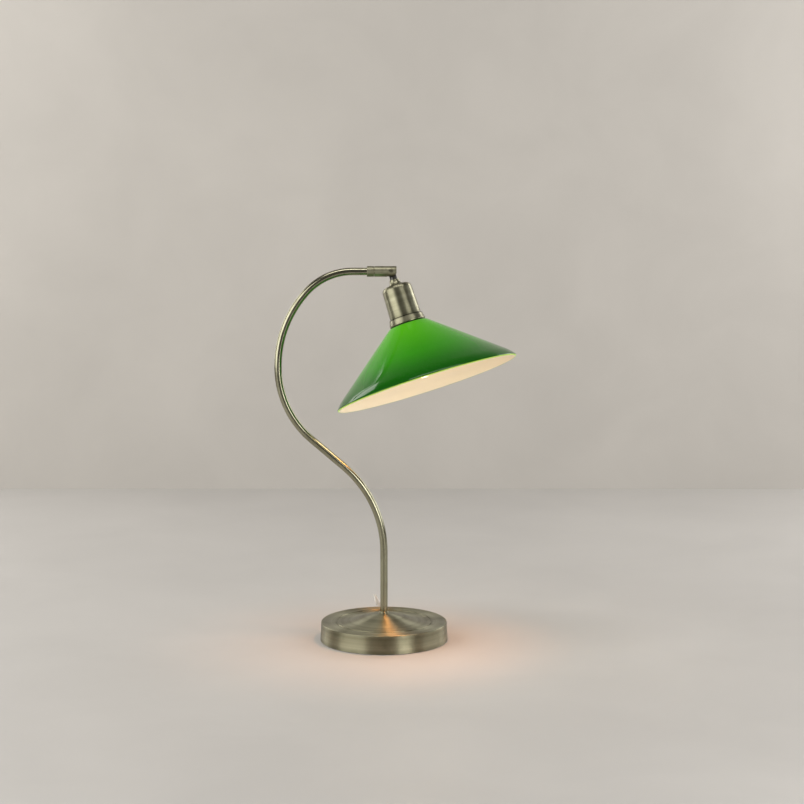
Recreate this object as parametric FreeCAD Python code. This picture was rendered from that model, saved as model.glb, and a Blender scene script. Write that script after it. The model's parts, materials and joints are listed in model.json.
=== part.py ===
import FreeCAD, Part
import math
import os

V = FreeCAD.Vector

# Fits between pieces
slip = 0.05          # radial clearance of a shaft, tube or thread in its hole
gap = 0.3            # clearance between pieces that move past each other
step = 0.4           # clearance between pieces that only lie side by side

# Base
base_radius = 85.2           # at the foot
base_draft = 1.2             # radius lost between the foot and the top edge
base_height = 25.0           # flat outer ring
base_wall = 1.6
base_edge_round = 1.2
rim_lift = 0.6               # lower edge of the cover above the table
bead_place = 63.5            # radius of the bead round the dome
bead_size = 0.9
dome_rise = 11.4             # dome at the stem, above the flat ring
dome_turn = 0.5              # share of the dome's radius where it turns from convex to hollow
felt_thickness = 2.0
felt_inset = 3.0
plate_thickness = 2.0
weight_thickness = 15.0
weight_gap = 3.0             # between the weight's edge and the cover
hub_radius = 16.0
nut_room = 12.5              # radius of the pocket under the hub
channel_width = 9.0
plate_screw_radius = 2.0
plate_screw_head = 3.8
plate_screw_length = 10.0
plate_screw_count = 3

# Stem
stem_radius = 5.0
stem_wall = 1.0
stem_foot = 20.0             # lower end of the stem, inside the base
stem_rise = 95.1             # straight part, from the top of the base's flat ring
bow_out = (151.0, 49.4)      # radius and angle of the bend away from the shade
bow_straight = 55.7
bow_back = ((126.6, 45.4), (147.8, 45.7))   # the two bends that come back over the base
bow_top_radius = 82.2        # last bend, which ends level
arm_length = 25.9            # level part, up to its end inside the collar
foot_collar_wall = 1.4
foot_collar_height = 2.2
nut_wall = 3.5               # from the stem to the nut's flats
nut_height = 5.0
washer_width = 5.0
washer_height = 1.2

# Swivel at the end of the stem
collar_wall = 2.05           # the swivel is this much larger than the stem
collar_length = 9.3
collar_web = 2.0             # closed end of the collar
bush_inset = 0.4             # the bush is this much smaller than the stem's bore
bush_wall = 1.4
bush_nut_wall = 0.7
bush_nut_height = 2.4
fork_length = 29.2
fork_wall = 3.0
fork_pocket_wall = 1.45      # round the room for the bush's nut
fork_pocket_length = 8.4
fork_nose = 0.12             # the fork's end is rounded this much inside its own radius
hinge_radius = 1.7
hinge_head_radius = 2.6
hinge_head_height = 1.4
tongue_width = 9.0
tongue_thickness = 5.0
friction_washer = 0.5
fork_roof = 1.4
grub_radius = 1.5

# Head, measured from the hinge along the head's own axis
head_tilt = 17.62            # degrees from straight down, away from the stem
head_twist = 13.11           # degrees round the arm
tongue_show = 4.65           # tongue between the fork and the bell
bell_height = 7.7
bell_radii = (6.5, 10.1)
nipple_radius = 3.5
nipple_wall = 1.1
cup_height = 43.5
cup_margins = (1.4, 2.5)     # the cup over the sleeve inside it, at its shoulder and its lower edge
cup_round = 6.4
cup_wall = 1.0
locknut_flats = 13.0
locknut_height = 3.0
gallery_height = 9.4
gallery_margins = (4.0, 5.7) # the gallery over the sleeve, at its upper and lower edge
gallery_round = 1.6
sleeve_radius = 18.4
shell_room = 1.7             # the sleeve's bore over the bulb's cap
sleeve_length = 40.0
gasket_thickness = 0.8
clamp_height = 3.6
clamp_grip = 5.4             # how far the clamp ring reaches out under the glass

# Shade
shade_neck_width = 6.5       # flat neck, from the hole to where the cone starts
shade_cone_radius = 111.6
shade_cone_angle = 51.1      # degrees from the head's axis
shade_rim_radius = 122.8
shade_lip_height = 12.0
shade_glass_wall = 3.0
shade_hole_slack = 0.9

# Bulb
cap_radius = 13.1
cap_length = 23.0
bulb_radius = 27.5
bulb_length = 96.0
bulb_wall = 0.8
contact_height = 1.2
contact_radius = 4.5
insulator_height = 2.5

# Turn switch at the back of the lampholder
switch_depth = 14.0          # below the top of the cup
switch_shaft_radius = 2.0
switch_bush_radius = 4.6
switch_bush_length = 3.0
knob_radius = 6.0
knob_length = 10.0
knob_grip = 3.6              # thickness of the knob's wing

# Cord
cord_diameter = 5.2
gland_height = 13.0
gland_radius = 4.0
gland_flange = 6.2
gland_reach = 8.8            # how far the gland stands out of the base
lead_radius = 1.8
lead_bend = 9.0
coil_centre = V(15.0, 34.8, 0)
coil_radius = 23.5           # middle of the turns
coil_width = 20.9
coil_height = 8.2
coil_edge_round = 1.6
plug_width = 26.0
plug_length = 30.0
plug_height = 13.0
plug_round = 4.0
plug_pin_radius = 2.0
plug_pin_length = 19.0
plug_pin_spacing = 19.0
relief_length = 7.0
relief_radius = 3.7

# Points of the cord, with Y counted from the back of the base
start_points = [
    V(0, 8.8, 13.0),
    V(-3.0, 17.2, 13.6),
    V(-7.2, 25.0, 17.8),
    V(-10.2, 31.4, 23.8),
    V(-12.8, 39.8, 28.8),
    V(-13.6, 47.8, 29.6),
    V(-13.2, 54.8, 25.4),
    V(-10.0, 59.0, 18.4),
    V(-3.6, 60.8, 11.6),
    V(6.2, 60.6, 7.8),
]
end_points = [
    V(-0.6, 7.8, 2.7),
    V(-10.2, 14.4, 2.7),
    V(-19.2, 16.9, 3.6),
    V(-27.5, 12.5, 6.2),
]

# Sizes that follow from the ones above
base_back = V(0, base_radius, 0)
cord_start = [base_back + point for point in start_points]
cord_end = [base_back + point for point in end_points]
base_top_radius = base_radius - base_draft
dome_edge = bead_place - bead_size
dome_top = base_height + dome_rise
plate_low = felt_thickness
weight_low = plate_low + plate_thickness
weight_radius = base_top_radius - base_wall - weight_gap
stem_hole = stem_radius + slip
stem_bore = stem_radius - stem_wall
washer_top = stem_foot + 1 + nut_height + washer_height
foot_collar_radius = stem_radius + foot_collar_wall
swivel_radius = stem_radius + collar_wall
bush_radius = stem_bore - bush_inset
fork_pocket = swivel_radius - fork_pocket_wall
pivot_from_end = swivel_radius - fork_nose
slot_width = tongue_thickness + 2 * (friction_washer + gap)
pin_half = swivel_radius * 0.9
bell_top = swivel_radius + tongue_show
bell_low = bell_top + bell_height
cup_low = bell_low + cup_height
gallery_low = cup_low + gallery_height
glass_top = gallery_low + gasket_thickness
glass_seat = glass_top + shade_glass_wall
shade_hole = sleeve_radius + shade_hole_slack
shade_neck_radius = shade_hole + shade_neck_width
sleeve_low = glass_seat + clamp_height + 4
sleeve_top = sleeve_low - sleeve_length
sleeve_bore = cap_radius + shell_room
cup_radii = [sleeve_radius + margin for margin in cup_margins]
gallery_radii = [sleeve_radius + margin for margin in gallery_margins]
block_radius = sleeve_radius - 1.5
block_top = bell_low + switch_depth + switch_bush_radius + step
cap_top = sleeve_top + 4 + contact_height + insulator_height + 2
tip = cap_top - insulator_height - contact_height
globe_centre = tip + bulb_length - bulb_radius
cup_flare = (cup_radii[1] - cup_radii[0]) / (cup_height - cup_round)
cup_at_switch = cup_radii[0] + cup_flare * (switch_depth - cup_round)
knob_start = cup_at_switch + switch_bush_length + step
switch_spot = V(0, 0, -(bell_low + switch_depth))
plug_end = relief_length + plug_length
plug_run = cord_end[-1] - cord_end[-2]
plug_way = V(plug_run.x, plug_run.y, 0).normalize()


def face_of(edges):
    return Part.Face(Part.Wire(edges))


def lines(points):
    pairs = zip(points, points[1:] + points[:1])
    return [Part.makeLine(a, b) for a, b in pairs]


def spin(edges):
    return face_of(edges).revolve(V(0, 0, 0), V(0, 0, 1), 360)


def ring(outer, inner, low, high):
    body = Part.makeCylinder(outer, high - low, V(0, 0, low))
    return body.cut(Part.makeCylinder(inner, high - low + 2, V(0, 0, low - 1)))


def hexagon(flats, low, height):
    corner = flats / math.sqrt(3)
    spots = [V(corner * math.cos(math.radians(60 * k)), corner * math.sin(math.radians(60 * k)), low)
             for k in range(6)]
    return face_of(lines(spots)).extrude(V(0, 0, height))


def rounded_corner(centre, radius, start, end):
    """Arc in the XZ half-plane about a point, from one angle to the other, in degrees."""
    def spot(angle):
        turn = math.radians(angle)
        return V(centre.x + radius * math.cos(turn), 0, centre.z + radius * math.sin(turn))
    return Part.Arc(spot(start), spot((start + end) / 2), spot(end)).toShape()


def save(node, shape):
    shape.exportStep("parts/" + node + ".step")


# ---------------------------------------------------------------- base

def dome_height_at(radius):
    """Height of the dome's outside: a convex crown that runs into a hollow skirt."""
    share = radius / dome_edge
    if share < dome_turn:
        fall = share * share / dome_turn
    else:
        fall = 1 - (1 - share) ** 2 / (1 - dome_turn)
    return dome_top - dome_rise * fall


def base_outline(inset):
    """Outside of the cover, or with an inset its inside, from the axis to the foot."""
    top = base_height - inset
    crown = V(0, 0, dome_top - inset)
    turn_radius = dome_edge * dome_turn
    turn = V(turn_radius, 0, dome_height_at(turn_radius) - inset)
    skirt_end = V(dome_edge, 0, top)
    side_top = V(base_top_radius - inset, 0, top)
    foot = V(base_radius - inset, 0, rim_lift)
    crown_mid = V(turn_radius / 2, 0, dome_height_at(turn_radius / 2) - inset)
    skirt_mid_radius = (turn_radius + dome_edge) / 2
    skirt_mid = V(skirt_mid_radius, 0, dome_height_at(skirt_mid_radius) - inset)
    edges = [Part.Arc(crown, crown_mid, turn).toShape(), Part.Arc(turn, skirt_mid, skirt_end).toShape()]
    edges += [Part.makeLine(skirt_end, side_top), Part.makeLine(side_top, foot)]
    edges += [Part.makeLine(foot, V(0, 0, rim_lift)), Part.makeLine(V(0, 0, rim_lift), crown)]
    return edges


def base_cover():
    outside = spin(base_outline(0))
    rim_edges = [e for e in outside.Edges
                 if abs(e.BoundBox.ZMax - base_height) < 0.01 and abs(e.BoundBox.ZLength) < 0.01
                 and abs(e.BoundBox.XMax - base_top_radius) < 0.01]
    outside = outside.makeFillet(base_edge_round, rim_edges)
    bead = Part.makeTorus(bead_place, bead_size, V(0, 0, base_height))
    outside = outside.fuse(bead)
    inside = spin(base_outline(base_wall))
    room = Part.makeCylinder(base_radius - base_wall, rim_lift + 1, V(0, 0, -1))
    shell = outside.cut(inside).cut(room)
    shell = shell.cut(Part.makeCylinder(stem_hole, dome_top + 2))
    hole_start = V(0, base_radius / 2, gland_height)
    return shell.cut(Part.makeCylinder(gland_radius + slip, base_radius, hole_start, V(0, 1, 0)))


def base_felt():
    return Part.makeCylinder(base_radius - felt_inset, felt_thickness)


def screw_spots():
    place = (base_radius + nut_room) / 2 + 6
    for k in range(plate_screw_count):
        angle = math.radians(30 + 360 * k / plate_screw_count)
        yield V(place * math.cos(angle), place * math.sin(angle), plate_low)


def screw_cone(spot, spare):
    low = plate_screw_head + spare
    return Part.makeCone(low, plate_screw_radius + spare, plate_thickness, spot)


def base_plate():
    plate = Part.makeCylinder(base_radius - felt_inset, plate_thickness, V(0, 0, plate_low))
    for spot in screw_spots():
        plate = plate.cut(screw_cone(spot, slip))
    return plate


def plate_screw(spot):
    shank = Part.makeCylinder(plate_screw_radius, plate_screw_length, spot)
    slot = Part.makeBox(plate_screw_head * 2, 0.8, 0.7, spot + V(-plate_screw_head, -0.4, 0))
    return screw_cone(spot, 0).fuse(shank).cut(slot)


def base_weight():
    hub_top = dome_height_at(hub_radius) - base_wall - step
    weight = Part.makeCylinder(weight_radius, weight_thickness, V(0, 0, weight_low))
    weight = weight.fuse(Part.makeCylinder(hub_radius, hub_top - weight_low, V(0, 0, weight_low)))
    weight = weight.cut(Part.makeCylinder(nut_room, washer_top - weight_low + 1, V(0, 0, weight_low - 1)))
    weight = weight.cut(Part.makeCylinder(stem_hole, dome_top + 2))
    channel = Part.makeBox(channel_width, weight_radius + 1, gland_height + gland_radius + 1 - weight_low,
                           V(-channel_width / 2, 0, weight_low))
    weight = weight.cut(channel)
    for spot in screw_spots():
        weight = weight.cut(Part.makeCylinder(plate_screw_radius + slip, plate_screw_length + 2, spot))
    return weight


def foot_collar():
    seat = dome_height_at(foot_collar_radius)
    body = ring(foot_collar_radius, stem_hole, seat, dome_top + foot_collar_height)
    dome = spin(base_outline(0))
    top = [e for e in body.Edges if abs(e.BoundBox.ZMin - dome_top - foot_collar_height) < 0.01
           and abs(e.BoundBox.XMax - foot_collar_radius) < 0.01]
    return body.makeFillet(0.6, top).cut(dome)


# ---------------------------------------------------------------- stem

def stem_route(start_height):
    """Edges of the stem's centre line, from the base to the level end."""
    spot = V(0, 0, start_height)
    heading = math.pi / 2
    edges = []

    def run(length):
        nonlocal spot
        end = spot + V(length * math.cos(heading), 0, length * math.sin(heading))
        edges.append(Part.makeLine(spot, end))
        spot = end

    def bend(radius, angle):
        nonlocal spot, heading
        side = math.copysign(1, angle)
        centre = spot + V(-side * radius * math.sin(heading), 0, side * radius * math.cos(heading))

        def on_arc(turn):
            way = heading + turn
            return centre + V(side * radius * math.sin(way), 0, -side * radius * math.cos(way))
        end = on_arc(angle)
        edges.append(Part.Arc(spot, on_arc(angle / 2), end).toShape())
        spot = end
        heading += angle

    out = math.radians(bow_out[1])
    backs = [(radius, math.radians(angle)) for radius, angle in bow_back]
    run(base_height + stem_rise - start_height)
    bend(bow_out[0], out)
    run(bow_straight)
    for radius, angle in backs:
        bend(radius, -angle)
    bend(bow_top_radius, -(math.pi / 2 + out - sum(angle for radius, angle in backs)))
    run(arm_length)
    return edges


def tube(edges, radius):
    wire = Part.Wire(edges)
    start = edges[0].valueAt(edges[0].FirstParameter)
    way = edges[0].tangentAt(edges[0].FirstParameter)
    circle = Part.Wire([Part.makeCircle(radius, start, way)])
    return wire.makePipeShell([circle], True, True)


stem_end = stem_route(stem_foot)[-1].Vertexes[-1].Point
arm_height = stem_end.z


def stem_tube():
    route = stem_route(stem_foot)
    return tube(route, stem_radius).cut(tube(route, stem_bore))


def stem_nut():
    body = hexagon(2 * (stem_radius + nut_wall), stem_foot + 1, nut_height)
    return body.cut(Part.makeCylinder(stem_hole, dome_top))


def stem_washer():
    return ring(stem_radius + washer_width, stem_hole, washer_top - washer_height, washer_top)


# ---------------------------------------------------------------- swivel

collar_end = stem_end.x + collar_web          # seam side of the collar
fork_start = collar_end + gap
fork_end = fork_start + fork_length
pivot = V(fork_end - pivot_from_end, 0, arm_height)


def along_arm(shape):
    """Turns a shape built round Z so that it lies round the arm, its Z along +X."""
    shape.Placement = FreeCAD.Placement(V(0, 0, arm_height), FreeCAD.Rotation(V(0, 1, 0), 90))
    return shape


def twisted(shape):
    shape.rotate(V(0, 0, arm_height), V(1, 0, 0), -head_twist)
    return shape


def swivel_collar():
    body = Part.makeCylinder(swivel_radius, collar_length, V(0, 0, collar_end - collar_length))
    body = body.makeChamfer(0.4, [e for e in body.Edges if len(e.Vertexes) == 1])
    bore_start = V(0, 0, collar_end - collar_web - collar_length)
    body = body.cut(Part.makeCylinder(stem_hole, collar_length, bore_start))
    body = along_arm(body.cut(Part.makeCylinder(bush_radius + slip, 99, V(0, 0, collar_end - 50))))
    hole = Part.makeCylinder(grub_radius + slip, swivel_radius, grub_spot(), V(0, 0, -1))
    return body.cut(hole)


def grub_spot():
    return V(collar_end - collar_length * 0.6, 0, arm_height - stem_radius)


def grub_screw():
    depth = swivel_radius - stem_radius
    body = Part.makeCylinder(grub_radius, depth - 0.3, grub_spot() - V(0, 0, slip), V(0, 0, -1))
    socket = Part.makeCylinder(grub_radius / 2, depth, grub_spot() - V(0, 0, depth / 2), V(0, 0, -1))
    return body.cut(socket)


def swivel_bush():
    """Hollow threaded bush fixed in the collar; the fork turns on it."""
    length = collar_web + gap * 2 + fork_wall + bush_nut_height
    return along_arm(ring(bush_radius, bush_radius - bush_wall, stem_end.x, stem_end.x + length))


def swivel_bush_nut():
    low = fork_start + fork_wall + gap
    body = hexagon(2 * (bush_radius + bush_nut_wall), low, bush_nut_height)
    return along_arm(body.cut(Part.makeCylinder(bush_radius + slip, 99, V(0, 0, low - 50))))


def across(radius, low, high):
    """Cylinder along the hinge, before the twist."""
    return Part.makeCylinder(radius, high - low, V(pivot.x, low, pivot.z), V(0, 1, 0))


def swivel_fork():
    body = Part.makeCylinder(swivel_radius, fork_length, V(0, 0, fork_start))
    body = body.makeChamfer(0.5, [e for e in body.Edges if len(e.Vertexes) == 1])
    body = body.cut(Part.makeCylinder(bush_radius + slip, fork_wall + 2, V(0, 0, fork_start - 1)))
    body = body.cut(Part.makeCylinder(fork_pocket, fork_pocket_length, V(0, 0, fork_start + fork_wall)))
    lead_way = Part.makeCylinder(bush_radius - bush_wall, fork_length - 2, V(0, 0, fork_start))
    body = along_arm(body.cut(lead_way))
    slot_start = pivot.x - tongue_width / 2 - 4 * step
    slot_top = swivel_radius - fork_roof
    slot = Part.makeBox(fork_end - slot_start + 1, slot_width, slot_top + swivel_radius + 1,
                        V(slot_start, -slot_width / 2, arm_height - swivel_radius - 1))
    nose = Part.makeBox(pivot_from_end + 1, 2 * swivel_radius, swivel_radius + 1,
                        V(pivot.x, -swivel_radius, arm_height - swivel_radius - 1))
    nose = nose.cut(across(pivot_from_end, -swivel_radius - 1, swivel_radius + 1))
    body = body.cut(slot).cut(nose).cut(across(hinge_radius + slip, -swivel_radius - 1, swivel_radius + 1))
    for side in (-1, 1):
        floor = side * (pin_half - hinge_head_height)
        rim = side * (swivel_radius + 1)
        body = body.cut(across(hinge_head_radius + slip, min(floor, rim), max(floor, rim)))
    return twisted(body)


def hinge_screw():
    head = across(hinge_head_radius, -pin_half, hinge_head_height - pin_half)
    slot_corner = V(pivot.x - hinge_head_radius, -pin_half, pivot.z - 0.35)
    slot = Part.makeBox(2 * hinge_head_radius, 0.5, 0.7, slot_corner)
    shank = across(hinge_radius, -pin_half + hinge_head_height, pin_half - 0.3)
    return twisted(head.cut(slot).fuse(shank))


def hinge_nut():
    body = across(hinge_head_radius, pin_half - hinge_head_height, pin_half)
    return twisted(body.cut(across(hinge_radius + slip, 0, swivel_radius)))


# ---------------------------------------------------------------- head

def hung(shape):
    """Places a head piece, built hanging straight down from the origin."""
    shape.rotate(V(0, 0, 0), V(0, 1, 0), -head_tilt)
    shape.rotate(V(0, 0, 0), V(1, 0, 0), -head_twist)
    shape.translate(pivot)
    return shape


def down(radius, depth):
    return V(radius, 0, -depth)


def swivel_tongue():
    half = tongue_thickness / 2
    eye = Part.makeCylinder(tongue_width / 2, tongue_thickness, V(0, -half, 0), V(0, 1, 0))
    leg_corner = V(-tongue_width / 2, -half, 2 - bell_top)
    leg = Part.makeBox(tongue_width, tongue_thickness, bell_top - 2, leg_corner)
    foot = Part.makeCylinder(tongue_width / 2 + 0.2, bell_top - swivel_radius - 1.2, V(0, 0, -bell_top))
    body = eye.fuse(leg).fuse(foot)
    body = body.cut(Part.makeCylinder(hinge_radius + slip, 20, V(0, -10, 0), V(0, 1, 0)))
    return hung(body.cut(Part.makeCylinder(nipple_radius + slip, 4, V(0, 0, -bell_top))))


def tongue_washer(side):
    low = side * tongue_thickness / 2 if side > 0 else -tongue_thickness / 2 - friction_washer
    body = Part.makeCylinder(tongue_width / 2, friction_washer, V(0, low, 0), V(0, 1, 0))
    return hung(body.cut(Part.makeCylinder(hinge_radius + slip, 20, V(0, -10, 0), V(0, 1, 0))))


def holder_nipple():
    low = bell_low + cup_wall + locknut_height + 2
    return hung(ring(nipple_radius, nipple_radius - nipple_wall, -low, -bell_top + 3.6))


def holder_bell():
    inner = nipple_radius + slip
    top, bottom = bell_radii
    hollow = down((top + bottom) / 2 - 0.9, bell_top + bell_height * 0.6)
    edges = [Part.makeLine(down(inner, bell_top), down(top, bell_top))]
    edges.append(Part.Arc(down(top, bell_top), hollow, down(bottom, bell_low)).toShape())
    edges.append(Part.makeLine(down(bottom, bell_low), down(inner, bell_low)))
    edges.append(Part.makeLine(down(inner, bell_low), down(inner, bell_top)))
    return hung(spin(edges))


def cup_outline(inset):
    top, bottom = cup_radii
    centre = down(top - cup_round, bell_low + cup_round)
    radius = cup_round - inset
    edges = [Part.makeLine(down(0, bell_low + inset), down(centre.x, bell_low + inset))]
    edges.append(rounded_corner(centre, radius, 90, 0))
    edges.append(Part.makeLine(down(top - inset, bell_low + cup_round), down(bottom - inset, cup_low)))
    edges.append(Part.makeLine(down(bottom - inset, cup_low), down(0, cup_low)))
    edges.append(Part.makeLine(down(0, cup_low), down(0, bell_low + inset)))
    return edges


def holder_cup():
    body = spin(cup_outline(0)).cut(spin(cup_outline(cup_wall)))
    body = body.cut(Part.makeCylinder(nipple_radius + slip, 2 * cup_round, V(0, 0, -bell_low - cup_round)))
    hole = Part.makeCylinder(switch_bush_radius * 0.7 + slip, 2 * cup_radii[1], switch_spot, V(0, 1, 0))
    return hung(body.cut(hole))


def nipple_locknut():
    low = bell_low + cup_wall + locknut_height
    body = hexagon(locknut_flats, -low, locknut_height)
    return hung(body.cut(Part.makeCylinder(nipple_radius + slip, 99, V(0, 0, -low - 50))))


def terminal_block():
    """Porcelain core that carries the contacts; it closes the top of the sleeve."""
    body = Part.makeCylinder(block_radius, sleeve_top - block_top, V(0, 0, -sleeve_top))
    for side in (-1, 1):
        well = Part.makeCylinder(2.4, 3.4, V(side * block_radius * 0.55, 0, -block_top - 3.2))
        body = body.cut(well)
    return hung(body)


def terminal_screw(side):
    low = block_top + 3.2
    body = Part.makeCylinder(2.2, 2.0, V(side * block_radius * 0.55, 0, -low))
    slot = Part.makeBox(5, 0.6, 0.8, V(side * block_radius * 0.55 - 2.5, -0.3, -low + 1.2))
    return hung(body.cut(slot))


def socket_sleeve():
    body = ring(sleeve_radius, sleeve_bore, -sleeve_low, -sleeve_top)
    pitch = 2.5
    for k in range(int((sleeve_low - cup_low - 1) / pitch)):
        groove = Part.makeTorus(sleeve_radius + 0.25, 0.6, V(0, 0, -sleeve_low + 1.5 + k * pitch))
        body = body.cut(groove)
    return hung(body)


def screw_shell():
    return hung(ring(cap_radius + 1.3, cap_radius + 0.5, -sleeve_low + 12, -sleeve_top - 6))


def centre_contact():
    foot = Part.makeBox(9, 5, 0.6, V(-4.5, -2.5, -sleeve_top - 0.6))
    post = Part.makeBox(0.6, 5, 3, V(-4.5, -2.5, -sleeve_top - 3))
    blade = Part.makeBox(9, 5, 0.6, V(-4.5, -2.5, -sleeve_top - 3.6))
    return hung(foot.fuse(post).fuse(blade))


def gallery_ring():
    inner = sleeve_radius + slip
    top, bottom = gallery_radii
    centre = down(bottom - gallery_round, gallery_low - gallery_round)
    edges = [Part.makeLine(down(inner, cup_low), down(top, cup_low))]
    edges.append(Part.makeLine(down(top, cup_low), down(bottom, centre.z * -1)))
    edges.append(rounded_corner(centre, gallery_round, 0, -90))
    edges.append(Part.makeLine(down(centre.x, gallery_low), down(inner, gallery_low)))
    edges.append(Part.makeLine(down(inner, gallery_low), down(inner, cup_low)))
    return hung(spin(edges))


def shade_gasket():
    return hung(ring(gallery_radii[1] - gallery_round, shade_hole, -glass_top, -gallery_low))


def clamp_ring():
    low = glass_seat + clamp_height
    body = ring(sleeve_radius + clamp_grip, sleeve_radius + slip, -low, -glass_seat)
    for k in range(12):
        notch = Part.makeCylinder(0.9, clamp_height + 2, V(sleeve_radius + clamp_grip + 0.3, 0, -low - 1))
        notch.rotate(V(0, 0, 0), V(0, 0, 1), 30 * k)
        body = body.cut(notch)
    return hung(body)


def shade_glass():
    """One blown piece: flat neck, straight cone and a lip that curves down to the rim."""
    slope = math.radians(shade_cone_angle)
    wall = shade_glass_wall
    out = V(math.cos(slope), 0, math.sin(slope))          # outward normal of the cone
    run_down = V(math.sin(slope), 0, -math.cos(slope))    # along the cone, to the rim
    neck = down(shade_neck_radius, glass_top)
    cone_end = neck + run_down * ((shade_cone_radius - shade_neck_radius) / math.sin(slope))
    rim = V(shade_rim_radius, 0, cone_end.z - shade_lip_height)
    chord = rim - cone_end
    bend = slope - math.atan2(chord.x, -chord.z)
    lip_radius = chord.Length / (2 * math.sin(bend))
    centre = cone_end - out * lip_radius

    def on_lip(turn, radius):
        angle = math.pi / 2 - slope - turn
        return centre + V(radius * math.cos(angle), 0, radius * math.sin(angle))

    inner_neck = down(shade_neck_radius - wall * math.tan(slope / 2), glass_seat)
    inner_end = cone_end - out * wall
    rim_way = V(math.sin(slope - 2 * bend), 0, -math.cos(slope - 2 * bend))
    rim_mid = on_lip(2 * bend, lip_radius - wall / 2) + rim_way * (wall / 2)
    outer_rim = on_lip(2 * bend, lip_radius)
    inner_rim = on_lip(2 * bend, lip_radius - wall)
    edges = [Part.makeLine(down(shade_hole, glass_top), neck), Part.makeLine(neck, cone_end)]
    edges.append(Part.Arc(cone_end, on_lip(bend, lip_radius), outer_rim).toShape())
    edges.append(Part.Arc(outer_rim, rim_mid, inner_rim).toShape())
    edges.append(Part.Arc(inner_rim, on_lip(bend, lip_radius - wall), inner_end).toShape())
    edges.append(Part.makeLine(inner_end, inner_neck))
    edges.append(Part.makeLine(inner_neck, down(shade_hole, glass_seat)))
    edges.append(Part.makeLine(down(shade_hole, glass_seat), down(shade_hole, glass_top)))
    body = spin(edges)
    neck_edge = [e for e in body.Edges if abs(e.BoundBox.ZMin + glass_top) < 0.01
                 and abs(e.BoundBox.ZLength) < 0.01 and abs(e.BoundBox.XMax - shade_neck_radius) < 0.01]
    return hung(body.makeFillet(1.4, neck_edge))


# ---------------------------------------------------------------- bulb

def bulb_contact():
    return hung(Part.makeCylinder(contact_radius, contact_height, V(0, 0, -tip - contact_height)))


def bulb_insulator():
    return hung(Part.makeCone(cap_radius - 0.8, contact_radius + 1, insulator_height, V(0, 0, -cap_top)))


def bulb_cap():
    return hung(ring(cap_radius, cap_radius - 0.5, -cap_top - cap_length, -cap_top))


def bulb_outline(inset):
    """Neck inside the cap, a flank that is tangent to the globe, and the globe."""
    neck = down(cap_radius - 0.6 - inset, cap_top + cap_length - 6)
    shoulder = down(neck.x, sleeve_low + 1)
    radius = bulb_radius - inset
    reach = globe_centre + shoulder.z
    distance = math.hypot(reach, neck.x)
    touch = math.degrees(math.atan2(reach, neck.x) - math.acos(radius / distance))
    centre = down(0, globe_centre)
    start = V(radius * math.cos(math.radians(touch)), 0, centre.z + radius * math.sin(math.radians(touch)))
    edges = [Part.makeLine(down(0, neck.z * -1), neck)]
    edges += [Part.makeLine(neck, shoulder), Part.makeLine(shoulder, start)]
    edges.append(rounded_corner(centre, radius, touch, -90))
    edges.append(Part.makeLine(V(0, 0, centre.z - radius), down(0, neck.z * -1)))
    return edges


def bulb_glass():
    return hung(spin(bulb_outline(0)).cut(spin(bulb_outline(bulb_wall))))


# ---------------------------------------------------------------- switch

def rearward(radius, low, high):
    return Part.makeCylinder(radius, high - low, switch_spot + V(0, low, 0), V(0, 1, 0))


def switch_bush():
    """Flanged bush through the cup's wall, with the nut's hexagon outside."""
    neck = rearward(switch_bush_radius * 0.7, cup_at_switch - cup_wall - 3, cup_at_switch + 1)
    nut = hexagon(switch_bush_radius * 1.8, 0, switch_bush_length - 0.6)
    nut.rotate(V(0, 0, 0), V(1, 0, 0), -90)
    nut.translate(switch_spot + V(0, cup_at_switch + 0.6, 0))
    cup = spin(cup_outline(0))
    body = nut.cut(cup).fuse(neck)
    return hung(body.cut(rearward(switch_shaft_radius + slip, 0, 3 * cup_at_switch)))


def switch_block():
    half = switch_bush_radius
    body = Part.makeBox(4 * half, 2 * half + 2, 2 * half - 1, switch_spot + V(-2 * half, 0, 0.5 - half))
    return hung(body.cut(rearward(switch_shaft_radius + gap, half, 99)))


def switch_shaft():
    return hung(rearward(switch_shaft_radius, switch_bush_radius + 1, knob_start + knob_length - 3))


def switch_knob():
    skirt = rearward(knob_radius, knob_start, knob_start + 3)
    wing = Part.makeBox(knob_grip, knob_length, 2 * knob_radius,
                        switch_spot + V(-knob_grip / 2, knob_start, -knob_radius))
    wing = wing.common(rearward(knob_radius, knob_start, knob_start + knob_length))
    tip_edges = [e for e in wing.Edges if abs(e.BoundBox.YMin - knob_start - knob_length) < 0.01]
    body = skirt.fuse(wing.makeFillet(1.0, tip_edges))
    return hung(body.cut(rearward(switch_shaft_radius + slip, knob_start - 1, knob_start + knob_length - 3)))


# ---------------------------------------------------------------- cord

def cord_route(points):
    """Straight runs joined by tangent arcs as large as the two runs beside each point allow."""
    edges = []
    last = points[0]
    for before, here, after in zip(points, points[1:], points[2:]):
        come = (here - before).normalize()
        leave = (after - here).normalize()
        turn = come.getAngle(leave)
        trim = 0.45 * min((here - before).Length, (after - here).Length)
        print("cord arc radius %.1f" % (trim / math.tan(turn / 2)))
        start = here - come * trim
        end = here + leave * trim
        toward = (leave - come).normalize()
        radius = trim / math.tan(turn / 2)
        middle = here + toward * (radius / math.cos(turn / 2) - radius)
        edges.append(Part.makeLine(last, start))
        edges.append(Part.Arc(start, middle, end).toShape())
        last = end
    edges.append(Part.makeLine(last, points[-1]))
    return edges


def cord_tube(points):
    edges = cord_route(points)
    shape = tube(edges, cord_diameter / 2)
    length = sum(e.Length for e in edges)
    section = math.pi * cord_diameter ** 2 / 4
    print("cord length %.1f, volume ratio %.4f" % (length, shape.Volume / (section * length)))
    return shape


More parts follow.
